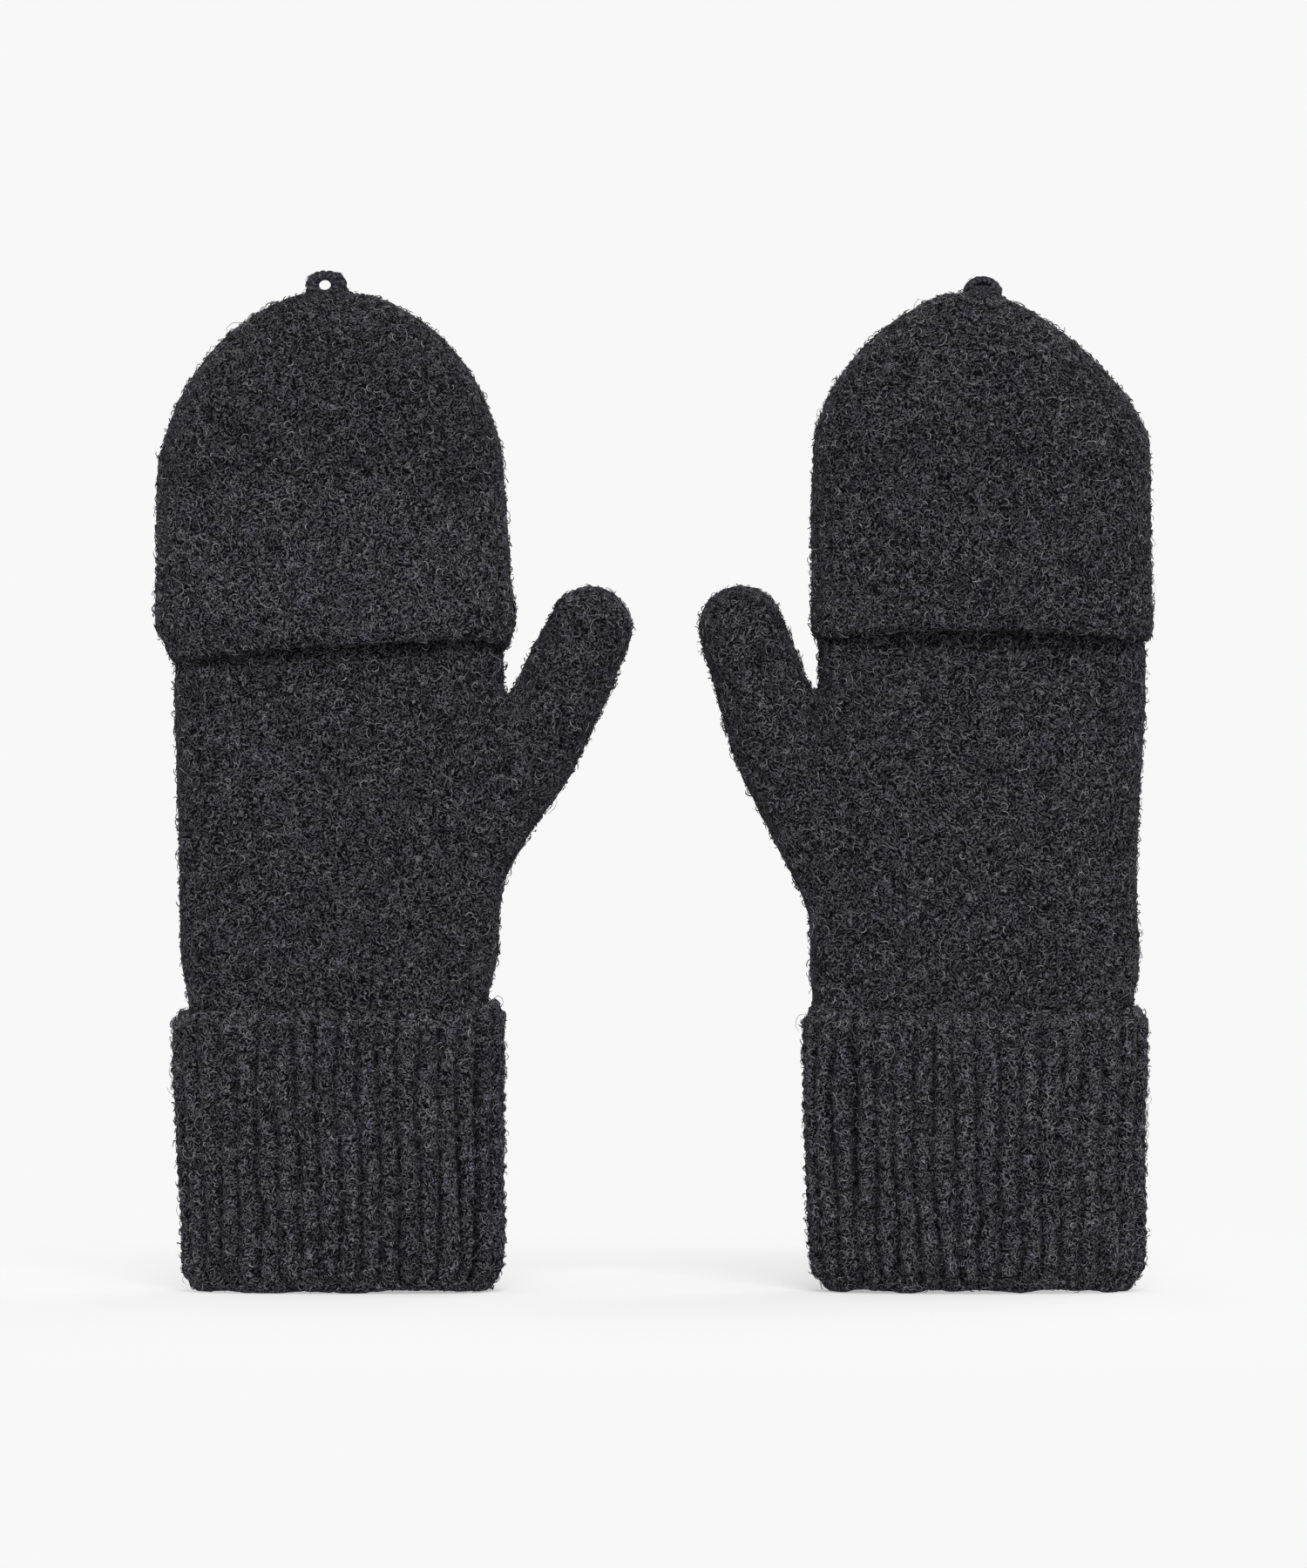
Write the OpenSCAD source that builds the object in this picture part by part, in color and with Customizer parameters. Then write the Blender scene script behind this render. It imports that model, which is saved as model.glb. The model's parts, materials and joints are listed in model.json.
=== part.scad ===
// A pair of convertible flip-top mittens, charcoal boucle knit, standing on their turned-up cuffs.
// The palms face -Y, the fingertips point to +Z, and the right-hand mitten stands at -X.
// Each mitten is drawn in a frame of its own: its centre line on Z, its thumb towards +X.

/* [Pair] */
// Distance between the two mittens' centre lines
pair_spacing = 173.4; // [165:0.1:240]

/* [Knit] */
// Thickness of the hand, thumb and cuff fabric
wall = 3; // [2:0.1:3.2]
// Thickness of the cap fabric
cap_wall = 2.6; // [2:0.1:2.8]
// Clearance between layers that move on each other
gap = 0.3; // [0.3:0.1:0.5]

/* [Cuff] */
// Height of the turned-up layer
cuff_h = 76; // [60:1:80]
// Width of the turned-up layer
cuff_w = 90; // [88:0.5:92]
// Thickness of the turned-up layer, palm to back
cuff_t = 35; // [33:0.5:36]

/* [Hand] */
// Width across the palm
hand_w = 87; // [84:0.5:87]
// Thickness of the hand, palm to back
hand_t = 27; // [25:0.5:27]
// Height of the finger roots
root_z = 181; // [175:1:182]

/* [Thumb] */
// Lean of the right-hand mitten's thumb
thumb_lean_right = 26; // [20:1:28]
// Lean of the left-hand mitten's thumb
thumb_lean_left = 17; // [16:1:28]
// Width of the thumb near its tip
thumb_w = 21.6; // [20:0.2:23]

/* [Fingers] */
// Distance between the half fingers' centre lines
finger_pitch = 21.3; // [20.4:0.1:21.4]
// Height of the middle and ring half fingers' hems
long_finger_z = 204; // [196:1:204]
// Height of the index and little half fingers' hems
short_finger_z = 199; // [192:1:199]

/* [Cap] */
// Width of the cap
cap_w = 96; // [95:0.5:100]
// Thickness of the cap, palm to back
cap_t = 35.3; // [35:0.1:37]
// Height of the line where the cap is linked to the back of the hand
hinge_z = 188; // [186:1:190]
// Height of the ribbed band below that line
rim_h = 15; // [12:1:18]
// Height of the cap's tip
tip_z = 269.5; // [262:0.5:280]
// Height where the cap starts to round in
dome_z = 215; // [205:1:225]

/* [Loop and button] */
// Diameter of the hole in the tip loop
loop_hole_d = 3.3; // [3:0.1:5]
// Thickness of the tip loop along Y
loop_t = 2.4; // [2:0.1:3]
// Diameter of the button
button_d = 11; // [10:0.5:12]

/* [Hidden] */
RIGHT = -1;
LEFT = 1;
slice = 0.05;
round_fn = 48;
oval_sides = 36;

wool = [0.17, 0.17, 0.19];
rib_wool = [0.20, 0.20, 0.22];
stub_wool = [0.14, 0.14, 0.16];
horn = [0.09, 0.08, 0.08];
thread = [0.24, 0.24, 0.26];

// Cuff: an inner layer, and a turned-up layer around it that is closed by the fold at the floor
cuff_in_w = cuff_w - 2 * wall - gap * 2;
cuff_in_t = cuff_t - 2 * wall - gap * 2;
fold_h = 3;

// Hand: it is narrowest at the cuff
hand_z = cuff_h + gap;
waist_w = hand_w - 4;
root_w = hand_w - 1.4;
root_t = hand_t - 4;
root_y = 0.8;
palm_z = cuff_h + 18;
knuckle_z = root_z - 30;

// Thumb: a gusset swells out of the palm up to the seam ring, and the stall goes on from there
gusset_at = [37, 106];
gusset_lean = 30;
gusset_r = [7, 8];
thumb_base_r = [13, 11.4];
thumb_r = thumb_w / 2;
thumb_len = 30.7;
thumb_base_right = [57.1, 150.6];
thumb_base_left = [53.8, 149.5];

// Half fingers
finger_r = (finger_pitch - gap) / 2;
finger_wall = 2.2;
finger_y = 0.8;

// Cap: round corners in plan, a dome at the top, an open front and sides below the hinge line
cap_y = -18 + cap_t / 2;
hinge_y = cap_y + cap_t / 2;
dome_power_right = 1.9;
dome_power_left = 1.75;
rim_cut_y = 4.5;
rim_cut_lean = 23;
link_w = 66;
link_h = 11;

// Loop and button: the flipped cap brings the loop down over the button
loop_x = -2;
loop_r = loop_hole_d / 2 + 1.7;
loop_z = tip_z + 2.9;
button_x = loop_x;
button_z = 2 * hinge_z - loop_z;
button_t = 2.6;
button_y = 18 - button_t;
button_hole_r = 0.8;
button_hole_at = 1.5;
thread_r = 0.55;

// ---- Shapes that repeat ----

// Power for the cosine and sine of an oval: 1 is an ellipse, less is squarer
squareness = 0.7;
function bend(v) = sign(v) * pow(abs(v), squareness);
function oval(half_w, half_t) =
    [for (i = [0:oval_sides - 1]) let (a = 360 * i / oval_sides)
        [half_w * bend(cos(a)), half_t * bend(sin(a))]];

// A level section is [z, y, half width, half thickness]
module level_slab(s) translate([0, s[1], s[0]]) linear_extrude(slice) polygon(oval(s[2], s[3]));

module loft(sections)
    for (i = [0:len(sections) - 2]) hull() {
        level_slab(sections[i]);
        level_slab(sections[i + 1]);
    }

function inset(sections, by) = [for (s = sections) [s[0], s[1], s[2] - by, s[3] - by]];

// Puts a mitten's own frame in its place in the pair
module place(side)
    if (side == RIGHT) translate([-pair_spacing / 2, 0, 0]) children();
    else translate([pair_spacing / 2, 0, 0]) mirror([1, 0, 0]) children();

// ---- Cuff ----

module stadium(w, t) {
    square([w - t, t], center = true);
    for (x = [-1, 1]) translate([x * (w - t) / 2, 0]) circle(d = t, $fn = round_fn);
}

module stadium_tube(w, t, thick, h)
    linear_extrude(h) difference() {
        stadium(w, t);
        stadium(w - 2 * thick, t - 2 * thick);
    }

module cuff_turnback(side) color(rib_wool) place(side) {
    stadium_tube(cuff_w, cuff_t, wall, cuff_h);
    stadium_tube(cuff_w - 2 * wall, cuff_t - 2 * wall, wall + gap, fold_h);
}

module cuff_inner(side) color(rib_wool) place(side)
    translate([0, 0, fold_h + gap]) stadium_tube(cuff_in_w, cuff_in_t, wall, hand_z - fold_h - gap);

// ---- Hand ----

palm_sections = [
    [hand_z, 0, waist_w / 2, hand_t / 2 - 0.5],
    [palm_z, 0, hand_w / 2 - 0.5, hand_t / 2],
    [knuckle_z, 0, hand_w / 2, hand_t / 2],
    [root_z - 8, root_y / 2, hand_w / 2, (hand_t + root_t) / 4],
    [root_z - slice, root_y, root_w / 2, root_t / 2]
];

module palm_form() loft(palm_sections);

module palm_space() {
    inside = inset(palm_sections, wall);
    last = len(inside) - 1;
    loft([
        concat([inside[0][0] - 1], [for (i = [1:3]) inside[0][i]]),
        inside[0], inside[1], inside[2], inside[3],
        concat([root_z - wall], [for (i = [1:3]) inside[last][i]])
    ]);
}

// A leaning section is [x, z, lean, half width, half thickness]
module leaning_slab(s)
    translate([s[0], 0, s[1]]) rotate([0, s[2], 0]) linear_extrude(slice) polygon(oval(s[3], s[4]));

module leaning_loft(sections)
    for (i = [0:len(sections) - 2]) hull() {
        leaning_slab(sections[i]);
        leaning_slab(sections[i + 1]);
    }

function thumb_base(side) = side == RIGHT ? thumb_base_right : thumb_base_left;
function thumb_lean(side) = side == RIGHT ? thumb_lean_right : thumb_lean_left;
function thumb_point(side, along) =
    thumb_base(side) + along * [sin(thumb_lean(side)), cos(thumb_lean(side))];
function thumb_section(side, along, half_w, half_t, by) =
    let (p = thumb_point(side, along)) [p[0], p[1], thumb_lean(side), half_w - by, half_t - by];

function gusset_sections(side, by, past) = [
    [gusset_at[0], gusset_at[1], gusset_lean, gusset_r[0] - by, gusset_r[1] - by],
    thumb_section(side, past, thumb_base_r[0], thumb_base_r[1], by)
];

function stall_sections(side, from, by) = concat(
    [thumb_section(side, from, thumb_base_r[0], thumb_base_r[1], by)],
    [thumb_section(side, thumb_len * 0.5, (thumb_base_r[0] + thumb_r) / 2, thumb_r + 0.2, by)],
    [for (a = [0:15:75])
        thumb_section(side, thumb_len + (thumb_r - by) * sin(a),
            (thumb_r - by) * cos(a), (thumb_r - by) * cos(a), 0)]
);

module hand_tube(side) color(wool) place(side) difference() {
    union() {
        palm_form();
        leaning_loft(gusset_sections(side, 0, -slice));
    }
    palm_space();
    leaning_loft(gusset_sections(side, wall, 1));
    for (i = [0:3]) finger_bore(i, root_z - 2 * wall, 4 * wall);
}

module thumb_stall(side) color(wool) place(side) difference() {
    leaning_loft(stall_sections(side, slice, 0));
    leaning_loft(stall_sections(side, -1, wall));
    loft(inset(palm_sections, -gap));
}

// ---- Half fingers, counted from the little finger, at -X, to the index finger ----

function finger_x(i) = (i - 1.5) * finger_pitch;

module finger_bore(i, z, h)
    translate([finger_x(i), finger_y, z]) cylinder(r = finger_r - finger_wall, h = h, $fn = round_fn);

module half_finger(side, i, hem_z) color(stub_wool) place(side) difference() {
    translate([finger_x(i), finger_y, root_z]) cylinder(r = finger_r, h = hem_z - root_z, $fn = round_fn);
    finger_bore(i, root_z - 1, hem_z - root_z + 2);
}

// ---- Cap ----

function dome_power(side) = side == RIGHT ? dome_power_right : dome_power_left;
function dome_half(side, u, half) = half * pow(1 - pow(u, dome_power(side)), 1 / dome_power(side));
function dome_thick(u, half) = half * sqrt(1 - pow(u, 2.5));

// Sections of the cap from z up, with the fabric taken off where by is its thickness
function cap_sections(side, z, by) = concat(
    [[z, cap_y, cap_w / 2 - by, cap_t / 2 - by]],
    [for (a = [0, 20, 35, 48, 58, 66, 73, 80]) let (u = sin(a))
        [dome_z + (tip_z - dome_z - by) * u, cap_y,
            dome_half(side, u, cap_w / 2 - by), dome_thick(u, cap_t / 2 - by)]]
);

module cap_shell(side) color(wool) place(side) difference() {
    loft(cap_sections(side, hinge_z, 0));
    loft(cap_sections(side, hinge_z - 1, cap_wall));
}

module cap_rim(side) color(rib_wool) place(side) difference() {
    translate([0, cap_y, hinge_z - rim_h]) linear_extrude(rim_h) difference() {
        polygon(oval(cap_w / 2, cap_t / 2));
        polygon(oval(cap_w / 2 - cap_wall, cap_t / 2 - cap_wall));
    }
    translate([-cap_w, rim_cut_y, hinge_z - rim_h]) rotate([-rim_cut_lean, 0, 0])
        translate([0, 0, -rim_h]) cube([2 * cap_w, cap_t, 3 * rim_h]);
}

// The linking row fills the step between the back of the hand and the line that the cap turns on
module cap_linking(side) color(wool) place(side) difference() {
    translate([0, 0, hinge_z - gap - link_h]) linear_extrude(link_h) intersection() {
        translate([-link_w / 2, 0]) square([link_w, cap_t]);
        translate([0, cap_y]) polygon(oval(cap_w / 2, cap_t / 2 - gap));
    }
    palm_form();
    translate([-cap_w / 2, -1, root_z - 1]) cube([cap_w, hinge_y - cap_wall, 2 * link_h]);
}

// ---- Loop and button ----

module tip_loop(side) color(wool) place(side)
    translate([loop_x, cap_y + loop_t / 2, loop_z]) rotate([90, 0, 0]) linear_extrude(loop_t)
        difference() {
            circle(r = loop_r, $fn = round_fn);
            circle(d = loop_hole_d, $fn = round_fn);
        }

module on_back(y) translate([button_x, y, button_z]) rotate([-90, 0, 0]) children();

module at_button_holes() for (x = [-1, 1], z = [-1, 1])
    translate([x * button_hole_at, z * button_hole_at, 0]) children();

module button(side) color(horn) place(side) on_back(button_y) difference() {
    cylinder(d = button_d, h = button_t, $fn = round_fn);
    translate([0, 0, button_t - 0.8]) cylinder(d = button_d - 3, h = 1, $fn = round_fn);
    at_button_holes() translate([0, 0, -1]) cylinder(r = button_hole_r, h = button_t + 2, $fn = round_fn);
}

module button_thread(side) color(thread) place(side) {
    shank_y = hand_t / 2 - 0.4;
    on_back(shank_y) cylinder(r = 2.2, h = button_y - shank_y, $fn = round_fn);
    on_back(button_y) at_button_holes() cylinder(r = thread_r, h = button_t - 0.8, $fn = round_fn);
    for (x = [-1, 1]) on_back(button_y + button_t - 0.8)
        translate([x * button_hole_at - thread_r, -button_hole_at - thread_r, 0])
            cube([2 * thread_r, 2 * (button_hole_at + thread_r), 0.6]);
}

cuff_turnback(RIGHT);  // right_cuff_turnback
cuff_inner(RIGHT);  // right_cuff_inner
hand_tube(RIGHT);  // right_hand_tube
thumb_stall(RIGHT);  // right_thumb_stall
half_finger(RIGHT, 0, short_finger_z);  // right_little_half_finger
half_finger(RIGHT, 1, long_finger_z);  // right_ring_half_finger
half_finger(RIGHT, 2, long_finger_z);  // right_middle_half_finger
half_finger(RIGHT, 3, short_finger_z);  // right_index_half_finger
cap_shell(RIGHT);  // right_cap_shell
cap_rim(RIGHT);  // right_cap_rim
cap_linking(RIGHT);  // right_cap_linking
tip_loop(RIGHT);  // right_tip_loop
button(RIGHT);  // right_button
button_thread(RIGHT);  // right_button_thread
cuff_turnback(LEFT);  // left_cuff_turnback
cuff_inner(LEFT);  // left_cuff_inner
hand_tube(LEFT);  // left_hand_tube
thumb_stall(LEFT);  // left_thumb_stall
half_finger(LEFT, 0, short_finger_z);  // left_little_half_finger
half_finger(LEFT, 1, long_finger_z);  // left_ring_half_finger
half_finger(LEFT, 2, long_finger_z);  // left_middle_half_finger
half_finger(LEFT, 3, short_finger_z);  // left_index_half_finger
cap_shell(LEFT);  // left_cap_shell
cap_rim(LEFT);  // left_cap_rim
cap_linking(LEFT);  // left_cap_linking
tip_loop(LEFT);  // left_tip_loop
button(LEFT);  // left_button
button_thread(LEFT);  // left_button_thread
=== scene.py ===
"""A pair of charcoal boucle flip-top mittens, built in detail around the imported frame.

Every knitted piece is shaped in millimetres in its own mitten's frame: x = 0 on the mitten's centre line,
with the thumb towards +x, the palm towards -y and the fingertips towards +z. place() takes it to the frame of
the pair, in metres. Noise and random places are seeded, so every run makes the same mittens.
"""
import json
import math

import bpy
import numpy as np
import openvdb as vdb
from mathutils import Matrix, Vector


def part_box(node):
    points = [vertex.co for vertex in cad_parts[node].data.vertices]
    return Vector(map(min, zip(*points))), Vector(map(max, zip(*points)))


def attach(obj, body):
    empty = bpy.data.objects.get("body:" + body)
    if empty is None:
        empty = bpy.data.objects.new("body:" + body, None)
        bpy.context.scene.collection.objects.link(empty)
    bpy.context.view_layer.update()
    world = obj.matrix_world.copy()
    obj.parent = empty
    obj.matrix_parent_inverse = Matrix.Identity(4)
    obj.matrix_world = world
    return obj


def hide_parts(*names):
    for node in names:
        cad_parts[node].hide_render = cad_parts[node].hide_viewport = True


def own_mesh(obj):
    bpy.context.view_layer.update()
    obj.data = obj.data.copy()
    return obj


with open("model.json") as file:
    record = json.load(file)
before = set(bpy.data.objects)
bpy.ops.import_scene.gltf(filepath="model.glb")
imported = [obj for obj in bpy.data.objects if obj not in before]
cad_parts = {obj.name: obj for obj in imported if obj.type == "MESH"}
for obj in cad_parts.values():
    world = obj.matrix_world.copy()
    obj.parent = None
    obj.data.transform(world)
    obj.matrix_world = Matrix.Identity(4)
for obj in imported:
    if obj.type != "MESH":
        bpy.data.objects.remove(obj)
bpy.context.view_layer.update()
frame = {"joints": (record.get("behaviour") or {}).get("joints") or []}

MM = 0.001
SIDES = ("right", "left")
JOINTS = {j["name"]: j for j in frame["joints"]}


# ---- The frame, read in each mitten's own millimetres ----

def centre_x(side):
    lo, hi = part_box(side + "_cuff_turnback")
    return (lo.x + hi.x) / 2


def hand_sign(side):
    """+1 where the thumb already points to +x, and -1 for the mirrored mitten."""
    return 1 if side == "right" else -1


def local_box(side, part):
    """(lowest, highest) corner of a CAD node in its mitten's frame, in mm."""
    lo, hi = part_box(side + "_" + part)
    xs = sorted(hand_sign(side) * (v - centre_x(side)) / MM for v in (lo.x, hi.x))
    return np.array([xs[0], lo.y / MM, lo.z / MM]), np.array([xs[1], hi.y / MM, hi.z / MM])


def place(side, points):
    """Takes points from a mitten's frame, in mm, to the frame of the pair, in metres."""
    out = points * np.array([hand_sign(side), 1, 1]) * MM
    return out + np.array([centre_x(side), 0, 0])


CUFF_TOP = local_box("right", "cuff_turnback")[1][2]
FOLD_TOP = local_box("right", "cuff_inner")[0][2]
CUFF_HALF = local_box("right", "cuff_turnback")[1][:2]
INNER_HALF = local_box("right", "cuff_inner")[1][:2]
ROOT_Z = local_box("right", "hand_tube")[1][2]
HAND_HALF_T = local_box("right", "hand_tube")[1][1]
CAP_LO, CAP_HI = local_box("right", "cap_shell")
CAP_Y = (CAP_LO[1] + CAP_HI[1]) / 2
CAP_HALF_T = (CAP_HI[1] - CAP_LO[1]) / 2
TIP_Z = CAP_HI[2]
RIM_Z = local_box("right", "cap_rim")[0][2]
HINGE_Z = JOINTS["right_cap_flip"]["pos_m"][2] / MM
LOOP_LO, LOOP_HI = local_box("right", "tip_loop")
FINGERS = ("little", "ring", "middle", "index")

# How each mitten lies, as the knit is pulled a little out of true on its form. Lengths are in mm.
#   palm: (share of the way from the cuff to the finger roots, outer edge, thumb edge)
#   cuff: (share of the cuff's height, outer edge, thumb edge)
#   gusset, thumb_tip: (x, z) of the ends of the thumb's axis
#   thumb_r: (distance along that axis, radius)
#   dome: for each edge of the cap, (half width under the dome, half width at the hinge, z of its foot, power)
#   cuff_lift: how far the cuff's top corner stands up on the thumb side
#   groove: how far from the thumb edge the deepest groove of the ribs runs; it is darkened in colour too, as
#       painted shade
#   edge_loops: (0 for the cuff's outer edge or 1 for its thumb edge, share of the loops that are there)
#   bulge, tuck: how far the cap's lip swells out and draws in again, at its (outer, thumb) edge
#   crown_and_band_tone_and_light: how pale the colour is made on the cap's crown and on its band. The paler
#       band is partly a different knit and partly painted light, where the raised, doubled band meets the
#       light
#   free_edge: (x, height over RIM_Z)
#   shut_eye: whether the eye on the tip is drawn tight
SHAPE = {
    "right": {
        "palm": [(-0.1, -37.8, 41.2), (0.03, -38.8, 42.0), (0.15, -40.8, 44.6), (0.32, -41.0, 45.4),
                 (0.75, -42.2, 45.8), (0.84, -42.4, 46.2), (0.91, -41.6, 46.0), (0.99, -42.2, 44.8),
                 (1.1, -42.4, 44.0)],
        "cuff": [(0.0, -39.8, 45.0), (0.2, -40.0, 45.5), (0.5, -41.0, 45.6), (0.86, -42.5, 45.8),
                 (1.0, -41.6, 45.4)],
        "gusset": (36.0, 106),
        "thumb_tip": (69.8, 178.9),
        "thumb_r": [(0, 6.3), (25, 8.8), (45, 11.9), (64, 12.0), (80, 11.1)],
        "dome": {"outer": (47.0, 47.0, 216, 1.88), "thumb": (46.4, 48.2, 217, 1.95)},
        "cuff_lift": 2.0,
        "groove": 6.3,
        "edge_loops": (1, 1.0),
        "bulge": (1.0, 1.0),
        "tuck": (5.1, 1.2),
        "crown_and_band_tone_and_light": (-0.42, 0.95),
        "free_edge": [(-46, -8.4), (-40, -4.0), (-30, -2.6), (-20, -1.2), (14, 0.8), (38, 2.0), (48, -0.6)],
        "shut_eye": False,
    },
    "left": {
        "palm": [(-0.1, -42.2, 43.4), (0.03, -42.7, 43.8), (0.09, -44.0, 44.3), (0.17, -44.1, 44.4),
                 (0.28, -43.4, 44.0), (0.5, -44.0, 43.0), (0.75, -45.6, 42.0), (0.91, -45.9, 41.8),
                 (0.98, -43.8, 43.0), (1.1, -43.2, 43.2)],
        "cuff": [(0.0, -44.2, 42.6), (0.2, -45.4, 44.0), (0.5, -45.2, 45.0), (0.86, -45.9, 45.8),
                 (1.0, -45.6, 45.4)],
        "gusset": (36.0, 100),
        "thumb_tip": (63.0, 178.8),
        "thumb_r": [(0, 6.5), (28, 10.4), (51, 13.0), (66, 12.2), (82, 11.4)],
        "dome": {"outer": (47.0, 47.4, 228, 1.45), "thumb": (43.6, 43.8, 226, 1.74)},
        "cuff_lift": 0.0,
        "groove": 12.9,
        "edge_loops": (0, 0.45),
        "bulge": (0.7, 0.0),
        "tuck": (1.6, 1.6),
        "crown_and_band_tone_and_light": (-0.10, 0.26),
        "free_edge": [(-46, 2.0), (-20, 3.6), (5, 4.2), (30, 3.4), (44, 2.2)],
        "shut_eye": True,
    },
}

# ---- Numbers and noise ----


def curve(stations):
    """A smooth curve through (x, y) points that never overshoots them."""
    xs, ys = np.array(stations, float).T
    steps, slopes = np.diff(xs), np.diff(ys) / np.diff(xs)
    tangent = np.zeros(len(xs))
    tangent[0], tangent[-1] = slopes[0], slopes[-1]
    same = slopes[:-1] * slopes[1:] > 0
    tangent[1:-1][same] = 2 * slopes[:-1][same] * slopes[1:][same] / (slopes[:-1] + slopes[1:])[same]

    def at(x):
        x = np.clip(x, xs[0], xs[-1])
        i = np.clip(np.searchsorted(xs, x) - 1, 0, len(steps) - 1)
        t = (x - xs[i]) / steps[i]
        return ((2 * t**3 - 3 * t**2 + 1) * ys[i] + (t**3 - 2 * t**2 + t) * steps[i] * tangent[i]
                + (3 * t**2 - 2 * t**3) * ys[i + 1] + (t**3 - t**2) * steps[i] * tangent[i + 1])

    return at


def ease(x, low, high):
    """0 below low, 1 above high, smooth between."""
    t = np.clip((x - low) / (high - low), 0, 1)
    return t * t * (3 - 2 * t)


def noise(points, size, seed):
    """Smooth value noise from -1 to 1, with features of about that size."""
    p = points / size
    cell = np.floor(p).astype(np.int64)
    f = p - cell
    f = f * f * (3 - 2 * f)
    total = np.zeros(len(points))
    for corner in range(8):
        bit = np.array([corner & 1, corner >> 1 & 1, corner >> 2 & 1])
        c = cell + bit
        h = (c[:, 0] * 73856093) ^ (c[:, 1] * 19349663) ^ (c[:, 2] * 83492791) ^ (seed * 2654435761)
        h = (h ^ (h >> 13)) * 1274126177 & 0xFFFFFFFF
        value = ((h ^ (h >> 16)) & 0xFFFF) / 32767.5 - 1
        total += value * np.prod(np.where(bit, f, 1 - f), axis=1)
    return total


# ---- Solids as distance fields ----

STEP = 0.78
FAR = 5.0
KNIT_POWER = 2.7


def grid(lo, hi, step=STEP):
    """The x, y and z of a block of samples, ready to broadcast."""
    axes = [np.arange(a, b + step, step) for a, b in zip(lo, hi)]
    return np.meshgrid(*axes, indexing="ij", sparse=True)


def distance(f, step=STEP):
    """Turns any smooth implicit field into one that is nearly a distance, in mm, close to its surface."""
    gx, gy, gz = np.gradient(f, step)
    return np.clip(f / np.maximum(np.sqrt(gx * gx + gy * gy + gz * gz), 1e-3), -FAR, FAR)


def oval(x, y, left, right, mid_y, half_t, power=KNIT_POWER):
    """Below 0 inside an upright tube whose cross-section is a squared-off oval."""
    a, mid_x = (right - left) / 2, (right + left) / 2
    return (np.abs((x - mid_x) / a) ** power + np.abs((y - mid_y) / half_t) ** power) ** (1 / power) - 1


def join(a, b, blend):
    """The union of two fields, with a fillet of about that size."""
    h = np.maximum(blend - np.abs(a - b), 0) / blend
    return np.minimum(a, b) - h * h * blend / 4


def cut(a, b):
    """What two fields have in common."""
    return np.maximum(a, b)


def soften(f, times=1):
    """Rounds a field's edges by averaging neighbours."""
    for _ in range(times):
        for axis in range(3):
            f = (np.roll(f, 1, axis) + 2 * f + np.roll(f, -1, axis)) / 4
    return f


def normals(points, quads):
    """Unit normals at the points, weighted by the area of the quads round them."""
    a, b = points[quads[:, 2]] - points[quads[:, 0]], points[quads[:, 3]] - points[quads[:, 1]]
    flat = np.cross(a, b)
    out = np.zeros_like(points)
    for k in range(4):
        for axis in range(3):
            out[:, axis] += np.bincount(quads[:, k], flat[:, axis], len(points))
    return out / np.maximum(np.linalg.norm(out, axis=1), 1e-12)[:, None]


def smooth(points, quads, times):
    """Evens out a mesh without shrinking it: each pass in is followed by a pass out."""
    ends = np.concatenate([quads[:, [0, 1]], quads[:, [1, 2]], quads[:, [2, 3]], quads[:, [3, 0]]])
    count = np.maximum(np.bincount(ends[:, 0], minlength=len(points)), 1)[:, None]
    for weight in (0.5, -0.52) * times:
        total = np.stack([np.bincount(ends[:, 0], points[ends[:, 1], k], len(points)) for k in range(3)], 1)
        points = points + weight * (total / count - points)
    return points


def surface(f, lo, step=STEP, smoothing=2):
    """(points, quads) of a field's zero level, evened out."""
    volume = vdb.FloatGrid(FAR)
    volume.copyFromArray(np.ascontiguousarray(f, dtype=np.float32))
    points, quads = volume.convertToQuads(isovalue=0.0)
    points, quads = np.asarray(points, float) * step + np.array(lo), np.asarray(quads, np.int64)
    return smooth(points, quads, smoothing), quads


# ---- Pieces ----

def new_mesh(name, side, points, faces, material, relief=None):
    """A mesh from points in a mitten's frame. faces is an array of triangles or quads.

    relief is one number a point, which the material reads."""
    if hand_sign(side) < 0:
        faces = faces[:, ::-1]
    mesh = bpy.data.meshes.new(name)
    mesh.vertices.add(len(points))
    mesh.vertices.foreach_set("co", place(side, points).astype(np.float32).ravel())
    corners = faces.shape[1]
    mesh.loops.add(faces.size)
    mesh.loops.foreach_set("vertex_index", faces.astype(np.int32).ravel())
    mesh.polygons.add(len(faces))
    mesh.polygons.foreach_set("loop_start", np.arange(0, faces.size, corners, dtype=np.int32))
    mesh.polygons.foreach_set("use_smooth", np.ones(len(faces), bool))
    mesh.update(calc_edges=True)
    if relief is not None:
        layer = mesh.attributes.new("relief", "FLOAT", "POINT")
        layer.data.foreach_set("value", relief.astype(np.float32))
    mesh.materials.append(material)
    piece = bpy.data.objects.new(name, mesh)
    bpy.context.scene.collection.objects.link(piece)
    return piece


def add_piece(side, part, points, faces, material, body, stands_for=(), relief=None):
    """A mesh that rides on one of its mitten's bodies and stands for the CAD nodes named in stands_for."""
    piece = new_mesh(side + "_" + part, side, points, faces, material, relief)
    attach(piece, side + "_" + body)
    if stands_for:
        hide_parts(*[side + "_" + node for node in stands_for])
    return piece


def boucle_relief(points, seed):
    """Lumps of the looped yarn, from about -1 to 1."""
    warp = np.stack([noise(points, 2.0, seed + k) for k in range(3)], 1) * 0.9
    coarse = noise(points + warp, 2.3, seed + 10)
    fine = 1 - 2 * np.abs(noise(points + warp, 1.5, seed + 11))
    return 0.55 * coarse + 0.45 * fine


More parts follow.
